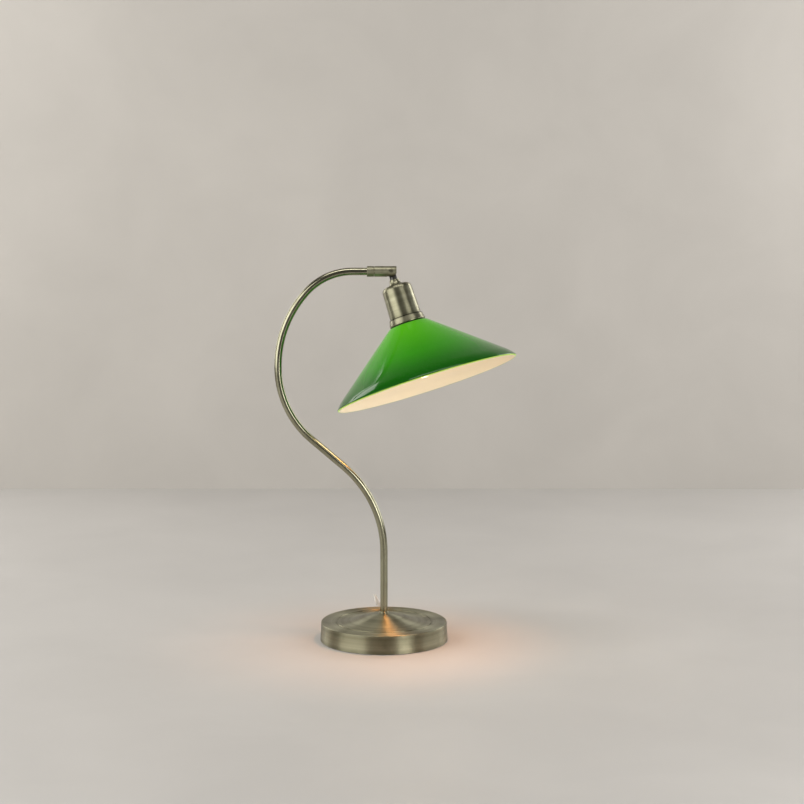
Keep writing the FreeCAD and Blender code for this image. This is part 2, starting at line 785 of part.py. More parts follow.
def cord_gland():
    """Moulded bush in the base's wall, with a ribbed sleeve outside."""
    wall_place = base_radius - base_draft * gland_height / base_height
    inner = wall_place - base_wall - 3
    end = cord_start[0].y
    body = Part.makeCylinder(gland_radius, end - inner, V(0, inner, gland_height), V(0, 1, 0))
    flange_place = base_radius - base_draft * (gland_height - gland_flange) / base_height + slip
    flange = Part.makeCylinder(gland_flange, 1.5, V(0, flange_place, gland_height), V(0, 1, 0))
    body = body.fuse(flange)
    for k in range(3):
        place = end - 1.4 - 1.9 * k
        body = body.cut(ring_along_y(gland_radius + 1, gland_radius - 0.7, place - 0.45, place + 0.45))
    return body.cut(Part.makeCylinder(lead_radius + slip, end, V(0, 0, gland_height), V(0, 1, 0)))


def ring_along_y(outer, inner, low, high):
    body = Part.makeCylinder(outer, high - low, V(0, low, gland_height), V(0, 1, 0))
    return body.cut(Part.makeCylinder(inner, high - low, V(0, low, gland_height), V(0, 1, 0)))


def inner_lead():
    """Two-core lead from the gland through the base and up the stem."""
    corner = V(0, lead_bend, gland_height)
    rise = V(0, 0, gland_height + lead_bend)
    inset = lead_bend * (1 - math.sqrt(0.5))
    bow = V(0, inset, gland_height + inset)
    edges = [Part.makeLine(V(0, cord_start[0].y - 1, gland_height), corner)]
    edges.append(Part.Arc(corner, bow, rise).toShape())
    return tube(edges + stem_route(rise.z), lead_radius)


def cord_coil():
    inner = coil_radius - coil_width / 2
    outer = coil_radius + coil_width / 2
    body = ring(outer, inner, 0.1, coil_height)
    rims = [e for e in body.Edges if len(e.Vertexes) == 1]
    body = body.makeFillet(coil_edge_round, rims)
    body.translate(base_back + coil_centre)
    return body


def on_plug(shape):
    """Places a plug piece built along +X, its cord end at the origin."""
    turn = math.degrees(math.atan2(plug_way.y, plug_way.x))
    shape.rotate(V(0, 0, 0), V(0, 0, 1), turn)
    shape.translate(V(cord_end[-1].x, cord_end[-1].y, plug_height / 2))
    return shape


def plug_body():
    corner = V(relief_length, -plug_width / 2, -plug_height / 2)
    body = Part.makeBox(plug_length, plug_width, plug_height, corner)
    upright = [e for e in body.Edges if abs(e.BoundBox.ZLength - plug_height) < 0.01]
    body = body.makeFillet(plug_round * 2, upright)
    flat = [e for e in body.Edges if e.BoundBox.ZLength < 0.01]
    body = body.makeFillet(plug_round * 0.4, flat)
    relief = Part.makeCone(relief_radius, relief_radius + 1.2, relief_length + 1, V(0, 0, 0), V(1, 0, 0))
    body = body.fuse(relief)
    for place in pin_places():
        body = body.cut(Part.makeCylinder(plug_pin_radius + slip, 6, V(plug_end - 5, place, 0), V(1, 0, 0)))
    return on_plug(body)


def pin_places():
    return [side * plug_pin_spacing / 2 for side in (-1, 1)]


def plug_pin(place):
    body = Part.makeCylinder(plug_pin_radius, plug_pin_length + 4.8, V(plug_end - 4.8, place, 0), V(1, 0, 0))
    tips = [e for e in body.Edges if len(e.Vertexes) == 1 and e.BoundBox.XMin > plug_end + 1]
    return on_plug(body.makeFillet(1.2, tips))


# ---------------------------------------------------------------- write

def write_all():
    os.makedirs("parts", exist_ok=True)
    makers = [
        base_cover, base_felt, base_plate, base_weight, foot_collar,
        stem_tube, stem_nut, stem_washer, swivel_collar, grub_screw, swivel_bush, swivel_bush_nut,
        swivel_fork, hinge_screw, hinge_nut, swivel_tongue, holder_nipple, holder_bell, holder_cup,
        nipple_locknut, terminal_block, socket_sleeve, screw_shell, centre_contact, gallery_ring,
        shade_gasket, clamp_ring, shade_glass, bulb_contact, bulb_insulator, bulb_cap, bulb_glass,
        switch_bush, switch_block, switch_shaft, switch_knob, cord_gland, inner_lead, cord_coil, plug_body,
    ]
    for maker in makers:
        save(maker.__name__, maker())
    for k, spot in enumerate(screw_spots()):
        save("plate_screw_%d" % (k + 1), plate_screw(spot))
    for k, side in enumerate((-1, 1)):
        save("tongue_washer_%d" % (k + 1), tongue_washer(side))
        save("terminal_screw_%d" % (k + 1), terminal_screw(side))
        save("plug_pin_%d" % (k + 1), plug_pin(pin_places()[k]))
    save("cord_arch", cord_tube(cord_start))
    save("cord_tail", cord_tube(cord_end))


write_all()
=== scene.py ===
import bpy
import bmesh
import json
from math import cos, pi, radians, sin
from mathutils import Matrix, Vector

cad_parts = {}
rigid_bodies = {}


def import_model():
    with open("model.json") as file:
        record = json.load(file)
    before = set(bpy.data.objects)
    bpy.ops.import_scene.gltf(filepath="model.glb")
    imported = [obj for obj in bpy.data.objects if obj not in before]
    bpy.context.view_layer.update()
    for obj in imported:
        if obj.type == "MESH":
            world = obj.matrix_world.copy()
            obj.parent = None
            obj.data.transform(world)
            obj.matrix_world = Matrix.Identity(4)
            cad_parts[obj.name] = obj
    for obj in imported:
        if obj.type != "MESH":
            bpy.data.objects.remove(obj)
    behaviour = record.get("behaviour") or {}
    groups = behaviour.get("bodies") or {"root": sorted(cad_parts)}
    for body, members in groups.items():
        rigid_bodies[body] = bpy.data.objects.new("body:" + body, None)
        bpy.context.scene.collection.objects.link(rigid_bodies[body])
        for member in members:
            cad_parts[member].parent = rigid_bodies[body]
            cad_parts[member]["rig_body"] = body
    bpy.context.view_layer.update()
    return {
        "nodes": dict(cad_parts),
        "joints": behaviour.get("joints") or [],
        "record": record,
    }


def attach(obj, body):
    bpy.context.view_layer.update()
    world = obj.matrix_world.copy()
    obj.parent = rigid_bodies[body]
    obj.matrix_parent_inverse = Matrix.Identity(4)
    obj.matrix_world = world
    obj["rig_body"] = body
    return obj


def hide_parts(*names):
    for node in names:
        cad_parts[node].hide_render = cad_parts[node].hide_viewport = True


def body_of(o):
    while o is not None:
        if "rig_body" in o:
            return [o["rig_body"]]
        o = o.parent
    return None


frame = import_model()
print("frame loaded:", len(frame["nodes"]), "nodes")

joints = {joint["name"]: joint for joint in frame["joints"]}


cameraValues = {"place": (0.0241, -3.0643, 0.7754), "pitch": 8.425, "lens": 105, "sensor": 36}


def addObject(name, data):
    added = bpy.data.objects.new(name, data)
    bpy.context.scene.collection.objects.link(added)
    return added


def makeCamera(values):
    data = bpy.data.cameras.new("camera")
    data.lens = values["lens"]
    data.sensor_width = values["sensor"]
    camera = addObject("camera", data)
    camera.location = values["place"]
    camera.rotation_euler = (radians(90 - values["pitch"]), 0, 0)
    bpy.context.scene.camera = camera


makeCamera(cameraValues)
print("camera placed")


def addPiece(name, mesh, body, materials):
    piece = addObject(name, mesh)
    for material in materials:
        mesh.materials.append(material)
    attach(piece, body)
    return piece


def setSmooth(mesh, smooth=True):
    for face in mesh.polygons:
        face.use_smooth = smooth
    return mesh


mergeDistance = 1e-6


def finishMesh(work, name, place=None, smooth=True):
    bmesh.ops.remove_doubles(work, verts=work.verts, dist=mergeDistance)
    bmesh.ops.recalc_face_normals(work, faces=work.faces)
    if place:
        work.transform(place)
    mesh = bpy.data.meshes.new(name)
    work.to_mesh(mesh)
    work.free()
    return setSmooth(mesh, smooth)


def turnProfile(work, profile, steps):  # an open outline of (radius, height) spun about Z
    points = [work.verts.new((radius, 0, height)) for radius, height in profile]
    edges = [work.edges.new(pair) for pair in zip(points, points[1:])]
    bmesh.ops.spin(work, geom=points + edges, cent=(0, 0, 0), axis=(0, 0, 1), angle=2 * pi, steps=steps,
                   use_merge=True)


headValues = {"tilt": 17.62}


def headPlace(values):  # from the lampholder's own axis, Z along it, to where the head hangs at rest
    pivot = Vector(joints["head_tilt"]["pos_m"])
    pin = -Vector(joints["head_tilt"]["axis"]).normalized()
    tilt = radians(values["tilt"])
    arm = Vector((1, 0, 0))
    down = arm * sin(tilt) + pin.cross(arm) * cos(tilt)
    side = pin.cross(down)
    turn = Matrix((side, pin, down)).transposed().to_4x4()
    return Matrix.Translation(pivot) @ turn


hang = headPlace(headValues)
headAxis = hang.to_3x3() @ Vector((0, 0, 1))
print("head axis", [round(value, 4) for value in headAxis])


def addNode(tree, kind, inputs=None, **settings):
    node = tree.nodes.new(kind)
    for name, value in settings.items():
        setattr(node, name, value)
    for name, value in (inputs or {}).items():
        node.inputs[name].default_value = value
    return node


def makeGroup(name, inputs, outputs):
    tree = bpy.data.node_groups.new(name, "ShaderNodeTree")
    for label, kind, value in inputs:
        socket = tree.interface.new_socket(label, in_out="INPUT", socket_type="NodeSocket" + kind)
        if value is not None:
            socket.default_value = value
    for label, kind in outputs:
        tree.interface.new_socket(label, in_out="OUTPUT", socket_type="NodeSocket" + kind)
    return tree, tree.nodes.new("NodeGroupInput"), tree.nodes.new("NodeGroupOutput")


def useGroup(tree, group, vector=None, **values):
    node = tree.nodes.new("ShaderNodeGroup")
    node.node_tree = group
    for name, value in values.items():
        node.inputs[name].default_value = value
    if vector:
        tree.links.new(vector, node.inputs["Vector"])
    return node


def mixColour(tree, factor, first, second, blend="MIX"):
    node = addNode(tree, "ShaderNodeMix", data_type="RGBA", blend_type=blend)
    for socket, value in ((node.inputs[0], factor), (node.inputs[6], first), (node.inputs[7], second)):
        if isinstance(value, bpy.types.NodeSocket):
            tree.links.new(value, socket)
        else:
            socket.default_value = value if socket == node.inputs[0] else (*value, 1)
    return node.outputs[2]


def reckon(tree, operation, first, second=0.5, third=0.5):
    node = addNode(tree, "ShaderNodeMath", operation=operation)
    for socket, value in zip(node.inputs, (first, second, third)):
        if isinstance(value, bpy.types.NodeSocket):
            tree.links.new(value, socket)
        else:
            socket.default_value = value
    return node.outputs[0]


def spread(tree, value, low, high, outLow=0, outHigh=1):
    node = addNode(tree, "ShaderNodeMapRange", {"From Min": low, "From Max": high, "To Min": outLow,
                                                "To Max": outHigh})
    tree.links.new(value, node.inputs["Value"])
    return node.outputs["Result"]


def newFinish(name, **values):
    material = bpy.data.materials.new(name)
    material.use_nodes = True
    tree = material.node_tree
    shader = tree.nodes["Principled BSDF"]
    for label, value in values.items():
        socket = shader.inputs[label.replace("_", " ")]
        socket.default_value = (*value, 1) if isinstance(value, tuple) and len(value) == 3 else value
    return material, tree, shader


def bumpInto(tree, shader, height, strength, distance):
    bump = addNode(tree, "ShaderNodeBump", {"Strength": strength, "Distance": distance})
    tree.links.new(height, bump.inputs["Height"])
    tree.links.new(bump.outputs["Normal"], shader.inputs["Normal"])


def objectPlace(tree, rotation=(0, 0, 0), location=(0, 0, 0)):
    coordinates = addNode(tree, "ShaderNodeTexCoord")
    mapping = addNode(tree, "ShaderNodeMapping", {"Rotation": rotation, "Location": location})
    tree.links.new(coordinates.outputs["Object"], mapping.inputs["Vector"])
    return mapping.outputs["Vector"]


ageingValues = {"patchSize": 30.0, "speckSize": 900.0, "dust": 0.3,
                "patches": {"Detail": 4.0, "Roughness": 0.55, "Distortion": 0.4},
                "specks": {"Detail": 3.0, "Roughness": 0.7},
                "patchRange": (0.3, 0.7), "speckRange": (0.35, 0.65),
                "upward": (0.35, 0.95), "grains": (0.5, 0.62, 0.15, 1)}


def makeAgeing(values):  # broad patches, fine specks and a dust mask on faces that look up
    tree, start, end = makeGroup("ageing", [("Vector", "Vector", None),
                                            ("Patch Size", "Float", values["patchSize"]),
                                            ("Speck Size", "Float", values["speckSize"]),
                                            ("Dust", "Float", values["dust"])],
                                 [("Patches", "Float"), ("Specks", "Float"), ("Dust", "Float")])
    patches = addNode(tree, "ShaderNodeTexNoise", values["patches"])
    specks = addNode(tree, "ShaderNodeTexNoise", values["specks"])
    for node, size in ((patches, "Patch Size"), (specks, "Speck Size")):
        tree.links.new(start.outputs["Vector"], node.inputs["Vector"])
        tree.links.new(start.outputs[size], node.inputs["Scale"])
    tree.links.new(spread(tree, patches.outputs["Fac"], *values["patchRange"]), end.inputs["Patches"])
    tree.links.new(spread(tree, specks.outputs["Fac"], *values["speckRange"]), end.inputs["Specks"])
    facing = addNode(tree, "ShaderNodeNewGeometry")
    split = addNode(tree, "ShaderNodeSeparateXYZ")
    tree.links.new(facing.outputs["Normal"], split.inputs["Vector"])
    upward = spread(tree, split.outputs["Z"], *values["upward"])
    grains = spread(tree, specks.outputs["Fac"], *values["grains"])
    settled = reckon(tree, "MULTIPLY", reckon(tree, "MULTIPLY", upward, grains), start.outputs["Dust"])
    tree.links.new(settled, end.inputs["Dust"])
    return tree


def addLineNoise(tree, start, end, place, values):  # the same noise at two sizes: fine lines and broad bands
    for label, factor, detail in values["outputs"]:
        noise = addNode(tree, "ShaderNodeTexNoise", {"Detail": detail, "Roughness": values["roughness"]})
        tree.links.new(place.outputs["Vector"], noise.inputs["Vector"])
        tree.links.new(reckon(tree, "MULTIPLY", start.outputs["Fineness"], factor), noise.inputs["Scale"])
        tree.links.new(spread(tree, noise.outputs["Fac"], *values["range"]), end.inputs[label])


turnedValues = {"fineness": 900.0, "break": 0.0004, "wander": {"Scale": 30.0, "Detail": 1.0},
                "roughness": 0.6, "range": (0.3, 0.7),
                "outputs": (("Lines", 1.0, 4.0), ("Bands", 0.09, 2.0))}  # share of the fineness, detail


def makeTurnedLines(values):  # fine rings about the Z axis of the coordinates, as a lathe leaves them
    tree, start, end = makeGroup("turnedLines", [("Vector", "Vector", None),
                                                 ("Fineness", "Float", values["fineness"]),
                                                 ("Break", "Float", values["break"])],
                                 [("Lines", "Float"), ("Bands", "Float")])
    split = addNode(tree, "ShaderNodeSeparateXYZ")
    tree.links.new(start.outputs["Vector"], split.inputs["Vector"])
    across = addNode(tree, "ShaderNodeCombineXYZ")
    tree.links.new(split.outputs["X"], across.inputs["X"])
    tree.links.new(split.outputs["Y"], across.inputs["Y"])
    length = addNode(tree, "ShaderNodeVectorMath", operation="LENGTH")
    tree.links.new(across.outputs["Vector"], length.inputs[0])
    wander = addNode(tree, "ShaderNodeTexNoise", values["wander"])
    tree.links.new(start.outputs["Vector"], wander.inputs["Vector"])
    offset = reckon(tree, "MULTIPLY", wander.outputs["Fac"], start.outputs["Break"])
    place = addNode(tree, "ShaderNodeCombineXYZ")
    tree.links.new(reckon(tree, "ADD", length.outputs["Value"], offset), place.inputs["X"])
    tree.links.new(split.outputs["Z"], place.inputs["Y"])
    addLineNoise(tree, start, end, place, values)
    return tree


longValues = {"fineness": 1400.0, "stretch": 0.12, "roughness": 0.6, "range": (0.3, 0.7),
              "outputs": (("Lines", 1.0, 3.0), ("Bands", 0.12, 3.0))}


def makeLongLines(values):  # brushing that runs along the Z axis of the coordinates
    tree, start, end = makeGroup("longLines", [("Vector", "Vector", None),
                                               ("Fineness", "Float", values["fineness"]),
                                               ("Stretch", "Float", values["stretch"])],
                                 [("Lines", "Float"), ("Bands", "Float")])
    stretch = addNode(tree, "ShaderNodeCombineXYZ", {"X": 1.0, "Y": 1.0})
    tree.links.new(start.outputs["Stretch"], stretch.inputs["Z"])
    place = addNode(tree, "ShaderNodeVectorMath", operation="MULTIPLY")
    tree.links.new(start.outputs["Vector"], place.inputs[0])
    tree.links.new(stretch.outputs["Vector"], place.inputs[1])
    addLineNoise(tree, start, end, place, values)
    return tree


ageing = makeAgeing(ageingValues)
turnedLines = makeTurnedLines(turnedValues)
longLines = makeLongLines(longValues)


brassValues = {"pale": (0.35, 0.34, 0.24), "deep": (0.19, 0.182, 0.118), "dark": (0.12, 0.11, 0.065),
               "dusty": (0.36, 0.35, 0.31), "seam": (0.03, 0.028, 0.018), "roughness": (0.22, 0.3),
               "dust": 0.08, "stain": (0.62, 1, 0, 0.45), "seamFade": (0.0004, 0.0013, 0.9, 0),
               "dustRoughness": 0.3, "patchRoughness": (-0.03, 0.06), "bumpDepth": 0.0002,
               "quarterTurn": 0.25}
# a lit copy of the same brass for the stem: its tones painted paler, and it is smoother
litStemValues = {**brassValues, "pale": (0.36, 0.35, 0.25), "deep": (0.27, 0.26, 0.18), "roughness": (0.15, 0.2)}


def makeBrass(name, lines, rotation=(0, 0, 0), location=(0, 0, 0), bump=0.01, grain=None, stretch=0.0,
              coarser=0.0, seams=(), lining=0.18, values=brassValues):
    turned = grain == "turned"
    material, tree, shader = newFinish(name, Metallic=1.0, Anisotropic=stretch,
                                       Anisotropic_Rotation=values["quarterTurn"] if turned else 0.0)
    place = objectPlace(tree, rotation, location)
    brush = useGroup(tree, lines, place)
    age = useGroup(tree, ageing, place, Dust=values["dust"])
    colour = mixColour(tree, brush.outputs["Bands"], values["deep"], values["pale"])
    colour = mixColour(tree, reckon(tree, "MULTIPLY", brush.outputs["Lines"], lining), colour, values["deep"])
    stain = spread(tree, age.outputs["Patches"], *values["stain"])
    colour = mixColour(tree, stain, colour, values["dark"])
    if seams:  # a dark line where two turned pieces meet
        split = addNode(tree, "ShaderNodeSeparateXYZ")
        tree.links.new(place, split.inputs["Vector"])
        for seam in seams:
            away = reckon(tree, "ABSOLUTE", reckon(tree, "SUBTRACT", split.outputs["Z"], seam))
            colour = mixColour(tree, spread(tree, away, *values["seamFade"]), colour, values["seam"])
    colour = mixColour(tree, age.outputs["Dust"], colour, values["dusty"])
    tree.links.new(colour, shader.inputs["Base Color"])
    low, high = values["roughness"]
    rough = reckon(tree, "ADD", spread(tree, brush.outputs["Lines"], 0, 1, low + coarser, high + coarser),
                   reckon(tree, "MULTIPLY", age.outputs["Dust"], values["dustRoughness"]))
    patchy = spread(tree, age.outputs["Patches"], 0, 1, *values["patchRoughness"])
    tree.links.new(reckon(tree, "ADD", rough, patchy), shader.inputs["Roughness"])
    bumpInto(tree, shader, brush.outputs["Lines"], bump, values["bumpDepth"])
    if turned:  # brushed in rings about Z, so that highlights draw out across them
        tangent = addNode(tree, "ShaderNodeTangent", direction_type="RADIAL", axis="Z")
        tree.links.new(tangent.outputs["Tangent"], shader.inputs["Tangent"])
    elif grain:  # the same about the axis that a head or an arm has
        along = addNode(tree, "ShaderNodeVectorTransform", {"Vector": grain}, vector_type="VECTOR",
                        convert_from="OBJECT", convert_to="WORLD")
        tree.links.new(along.outputs["Vector"], shader.inputs["Tangent"])
    return material


plainValues = {"speckShare": 0.25, "dusty": (0.5, 0.48, 0.44), "dustRoughness": 0.3}


def makePlain(name, light, deep, roughness, patchSize=40.0, speckSize=900.0, dust=0.2, bump=0.1, depth=0.0002,
              **shaderValues):  # paint, plastic, iron and other finishes with patches and specks
    material, tree, shader = newFinish(name, **shaderValues)
    place = objectPlace(tree)
    age = useGroup(tree, ageing, place, Dust=dust)
    age.inputs["Patch Size"].default_value = patchSize
    age.inputs["Speck Size"].default_value = speckSize
    colour = mixColour(tree, age.outputs["Patches"], deep, light)
    speckled = reckon(tree, "MULTIPLY", age.outputs["Specks"], plainValues["speckShare"])
    colour = mixColour(tree, speckled, colour, deep)
    colour = mixColour(tree, age.outputs["Dust"], colour, plainValues["dusty"])
    tree.links.new(colour, shader.inputs["Base Color"])
    rough = spread(tree, age.outputs["Specks"], 0, 1, *roughness)
    duller = reckon(tree, "MULTIPLY", age.outputs["Dust"], plainValues["dustRoughness"])
    tree.links.new(reckon(tree, "ADD", rough, duller), shader.inputs["Roughness"])
    bumpInto(tree, shader, age.outputs["Specks"], bump, depth)
    return material


unturned = hang.to_3x3().transposed()
headMapping = {"rotation": tuple(unturned.to_euler()), "location": tuple(-(unturned @ hang.translation))}
# the lines' centre lies off the arm, so there they aren't rings about it
armMapping = {"rotation": (0, radians(90), 0), "location": (0.4944, 0, 0)}
headSeams = (0.0629, 0.0725)  # distances from the pivot along the head's axis
baseBrass = makeBrass("brushedBrassTurned", turnedLines, grain="turned", stretch=0.9, coarser=0.14)
stemBrass = makeBrass("brushedBrassStem", longLines, bump=0.0, lining=0.1, values=litStemValues)
armBrass = makeBrass("brushedBrassArm", turnedLines, grain=(1, 0, 0), stretch=0.4, coarser=0.2, **armMapping)
headBrass = makeBrass("brushedBrassHead", turnedLines, grain=tuple(headAxis), stretch=0.75, coarser=0.08,
                      bump=0.02, seams=headSeams, lining=0.4, **headMapping)
finishes = {
    "raw_brass": makePlain("turnedBrass", (0.72, 0.52, 0.22), (0.55, 0.37, 0.13), (0.2, 0.35), Metallic=1.0),
    "felt": makePlain("darkFelt", (0.02, 0.025, 0.02), (0.006, 0.008, 0.006), (0.85, 1.0), speckSize=2500.0,
                      bump=0.6, Sheen_Weight=0.4),
    "steel_plate": makePlain("pressedSteel", (0.42, 0.43, 0.44), (0.28, 0.29, 0.3), (0.3, 0.5), Metallic=1.0),
    "cast_iron": makePlain("castIron", (0.07, 0.07, 0.075), (0.03, 0.03, 0.033), (0.6, 0.8), bump=0.5,
                           speckSize=400.0, Metallic=0.5),
    "zinc_steel": makePlain("zincPlate", (0.6, 0.62, 0.64), (0.42, 0.44, 0.47), (0.25, 0.42), Metallic=1.0),
    "dark_steel": makePlain("darkSteel", (0.12, 0.12, 0.11), (0.05, 0.05, 0.045), (0.3, 0.45), Metallic=1.0),
    "nickel": makePlain("nickelPlate", (0.66, 0.64, 0.6), (0.5, 0.48, 0.44), (0.15, 0.3), Metallic=1.0),
    "porcelain": makePlain("glazedPorcelain", (0.8, 0.79, 0.75), (0.7, 0.68, 0.63), (0.12, 0.25), bump=0.05),
    "black_phenolic": makePlain("mouldedPhenolic", (0.02, 0.018, 0.016), (0.008, 0.007, 0.006), (0.25, 0.42),
                                bump=0.15, Coat_Weight=0.2),
    "gasket_rubber": makePlain("gasketRubber", (0.035, 0.035, 0.035), (0.015, 0.015, 0.015), (0.55, 0.75)),
    "black_glass": makePlain("blackGlass", (0.01, 0.01, 0.012), (0.004, 0.004, 0.005), (0.06, 0.14),
                             bump=0.03),
    "clear_pvc": makePlain("clearVinyl", (0.62, 0.62, 0.58), (0.5, 0.5, 0.46), (0.18, 0.32), bump=0.08,
                           Transmission_Weight=0.25, IOR=1.5),
    "white_pvc": makePlain("whiteVinyl", (0.78, 0.77, 0.73), (0.66, 0.65, 0.6), (0.3, 0.45), bump=0.1),
}


opalValues = {"glass": (0.9, 0.86, 0.78), "coat": 0.5, "roughness": 0.25, "strength": 8.0,
              "glow": (0.078, 0.1, 0.25, 1), "warm": (0.9, 0.42, 0.14), "bright": (1, 0.84, 0.62),
              "dim": (0.1, 0.05, 0.02)}


def makeOpal(values):  # the lit bulb: brightest across the globe, dimmer by the cap
    material, tree, shader = newFinish("litOpalGlass", Base_Color=values["glass"], Coat_Weight=values["coat"],
                                       Roughness=values["roughness"], Emission_Strength=values["strength"])
    place = objectPlace(tree, **headMapping)
    split = addNode(tree, "ShaderNodeSeparateXYZ")
    tree.links.new(place, split.inputs["Vector"])
    glow = spread(tree, split.outputs["Z"], *values["glow"])
    colour = mixColour(tree, glow, values["warm"], values["bright"])
    tree.links.new(mixColour(tree, glow, values["dim"], colour), shader.inputs["Emission Color"])
    return material


finishes["opal_glass"] = makeOpal(opalValues)

shadeValues = {"litNeckGreen": (0.045, 0.30, 0.0005), "bodyGreen": (0.018, 0.225, 0.001),
               "shadedRimGreen": (0.003, 0.08, 0.001), "neckStart": 0.08, "rimEnd": 0.15, "roughness": (0.05, 0.12),
               "bodyFrom": (0, 0.5), "rimFrom": (0.55, 1), "patchShare": 0.12, "specular": 0.28,
               "index": 1.45, "dust": 0.05, "dusty": (0.4, 0.42, 0.35), "glowStrength": 0.25,
               "glowRange": (0, 0.8), "neckGlow": (0.11, 0.5, 0.0), "rimGlow": (0.002, 0.04, 0.0),
               "waves": {"Scale": 22.0, "Detail": 1.0}, "waveStrength": 0.06, "waveDepth": 0.002}
liningValues = {"cream": (0.86, 0.77, 0.60), "stained": (0.8, 0.68, 0.48), "stainShare": 0.2, "specular": 0.3,
                "roughness": (0.3, 0.45)}


def makeShadeOutside(values):
    material, tree, shader = newFinish("greenCasedGlass", Specular_IOR_Level=values["specular"],
                                       Emission_Strength=values["glowStrength"], IOR=values["index"])
    place = objectPlace(tree, **headMapping)
    split = addNode(tree, "ShaderNodeSeparateXYZ")
    tree.links.new(place, split.inputs["Vector"])
    # painted light and shade: the green is painted lighter at the neck, where the bulb shines through, and
    # darker towards the rim
    down = spread(tree, split.outputs["Z"], values["neckStart"], values["rimEnd"])
    near = mixColour(tree, spread(tree, down, *values["bodyFrom"]), values["litNeckGreen"], values["bodyGreen"])
    colour = mixColour(tree, spread(tree, down, *values["rimFrom"]), near, values["shadedRimGreen"])
    age = useGroup(tree, ageing, place, Dust=values["dust"])
    patchy = spread(tree, age.outputs["Patches"], 0, 1, 0, values["patchShare"])
    # random patches of the same dark green as the painted shade at the rim
    colour = mixColour(tree, patchy, colour, values["shadedRimGreen"])
    tree.links.new(mixColour(tree, age.outputs["Dust"], colour, values["dusty"]), shader.inputs["Base Color"])
    # painted light: the glass glows green, strongest at the neck, in place of the bulb's light shining
    # through it
    glow = mixColour(tree, spread(tree, down, *values["glowRange"]), values["neckGlow"], values["rimGlow"])
    tree.links.new(glow, shader.inputs["Emission Color"])
    rough = spread(tree, age.outputs["Specks"], 0, 1, *values["roughness"])
    tree.links.new(rough, shader.inputs["Roughness"])
    waves = addNode(tree, "ShaderNodeTexNoise", values["waves"])
    tree.links.new(place, waves.inputs["Vector"])
    bumpInto(tree, shader, waves.outputs["Fac"], values["waveStrength"], values["waveDepth"])
    return material


def makeShadeInside(values):
    material, tree, shader = newFinish("creamCasedGlass", Specular_IOR_Level=values["specular"])
    place = objectPlace(tree, **headMapping)
    age = useGroup(tree, ageing, place, Dust=0.0)
    stain = spread(tree, age.outputs["Patches"], 0, 1, 0, values["stainShare"])
    tree.links.new(mixColour(tree, stain, values["cream"], values["stained"]), shader.inputs["Base Color"])
    rough = spread(tree, age.outputs["Specks"], 0, 1, *values["roughness"])
    tree.links.new(rough, shader.inputs["Roughness"])
    return material


shadeOutside = makeShadeOutside(shadeValues)
shadeInside = makeShadeInside(liningValues)
# painted light: the rim edge of the glass glows yellow-green, in place of the bulb's light through it
litShadeEdge = makePlain("glowingGlassEdge", (0.42, 0.55, 0.10), (0.3, 0.45, 0.06), (0.1, 0.2), bump=0.02,
                      Emission_Color=(0.3, 0.55, 0.04), Emission_Strength=0.5)
print("finishes made")


brassPlaces = {"stem_tube": stemBrass, "swivel_collar": armBrass, "swivel_fork": armBrass}


def paintNodes():
    for part in frame["record"]["subparts"]:
        name, finish = part["node"], finishes.get(part["material_slot"])
        node = frame["nodes"][name]
        if not finish:
            finish = headBrass if body_of(node)[0] == "head" else brassPlaces.get(name, baseBrass)
        node.data.materials.clear()
        node.data.materials.append(finish)


paintNodes()
print("CAD nodes painted")


cordValues = {"width": 0.0052, "thickness": 0.0027, "coilCentre": (0.015, 0.120), "pointsPerTurn": 16,
              "radii": (0.0312, 0.026, 0.0208, 0.0156), "layers": (0.00695, 0.0042, 0.0015),
              "startAngle": 88, "endAngle": 262, "stepAngle": 330, "stepSpan": 110, "order": 3,
              "resolution": 3, "groove": 0.72, "shoulder": 0.93, "corner": (0.72, 0.7)}
arch = [(0, 0.094, 0.013), (-0.003, 0.1024, 0.0136), (-0.0072, 0.1102, 0.0178), (-0.0102, 0.1166, 0.0238),
        (-0.0128, 0.125, 0.0288), (-0.0136, 0.133, 0.0296), (-0.0132, 0.14, 0.0254), (-0.01, 0.1442, 0.0184),
        (-0.0036, 0.146, 0.0114), (0.0062, 0.1458, 0.0076)]
tail = [(-0.0006, 0.093, 0.0016), (-0.0102, 0.0996, 0.0022), (-0.0192, 0.1021, 0.0042),
        (-0.0275, 0.0977, 0.0064)]


def coilTurns(values):  # wound clockwise seen from above, stepping one track over in the same short span
    top, middle, bottom = values["layers"]
    tracks = [(values["radii"][1], top), (values["radii"][0], top)]
    tracks += [(radius, middle) for radius in values["radii"]]
    tracks += [(radius, bottom) for radius in reversed(values["radii"])]
    stepSpan = values["stepSpan"]
    x, y = values["coilCentre"]
    total = values["startAngle"] + 360 * len(tracks) - values["endAngle"]
    count = round(total * values["pointsPerTurn"] / 360)
    points = []
    for index in range(count + 1):
        angle = values["startAngle"] - total * index / count
        passed = (values["stepAngle"] - 360 + stepSpan / 2 - angle) / 360 + 1
        track = max(0, min(len(tracks) - 1, int(passed)))
        share = min(1, (passed - track) * 360 / stepSpan) if passed >= 1 else 1
        share = share * share * (3 - 2 * share)  # eases into the next track and out of the last
        before, after = tracks[max(0, track - 1)], tracks[track]
        radius = before[0] + (after[0] - before[0]) * share
        height = before[1] + (after[1] - before[1]) * share
        points.append((x + radius * cos(radians(angle)), y + radius * sin(radians(angle)), height))
    return points


def makeRoute(name, points, values):
    data = bpy.data.curves.new(name, "CURVE")
    data.dimensions = "3D"
    data.twist_mode = "Z_UP"
    spline = data.splines.new("NURBS")
    spline.points.add(len(points) - 1)
    for point, place in zip(spline.points, points):
        point.co = (*place, 1)
    spline.order_u = values["order"]
    spline.use_endpoint_u = True
    data.resolution_u = values["resolution"]
    return addObject(name, data)


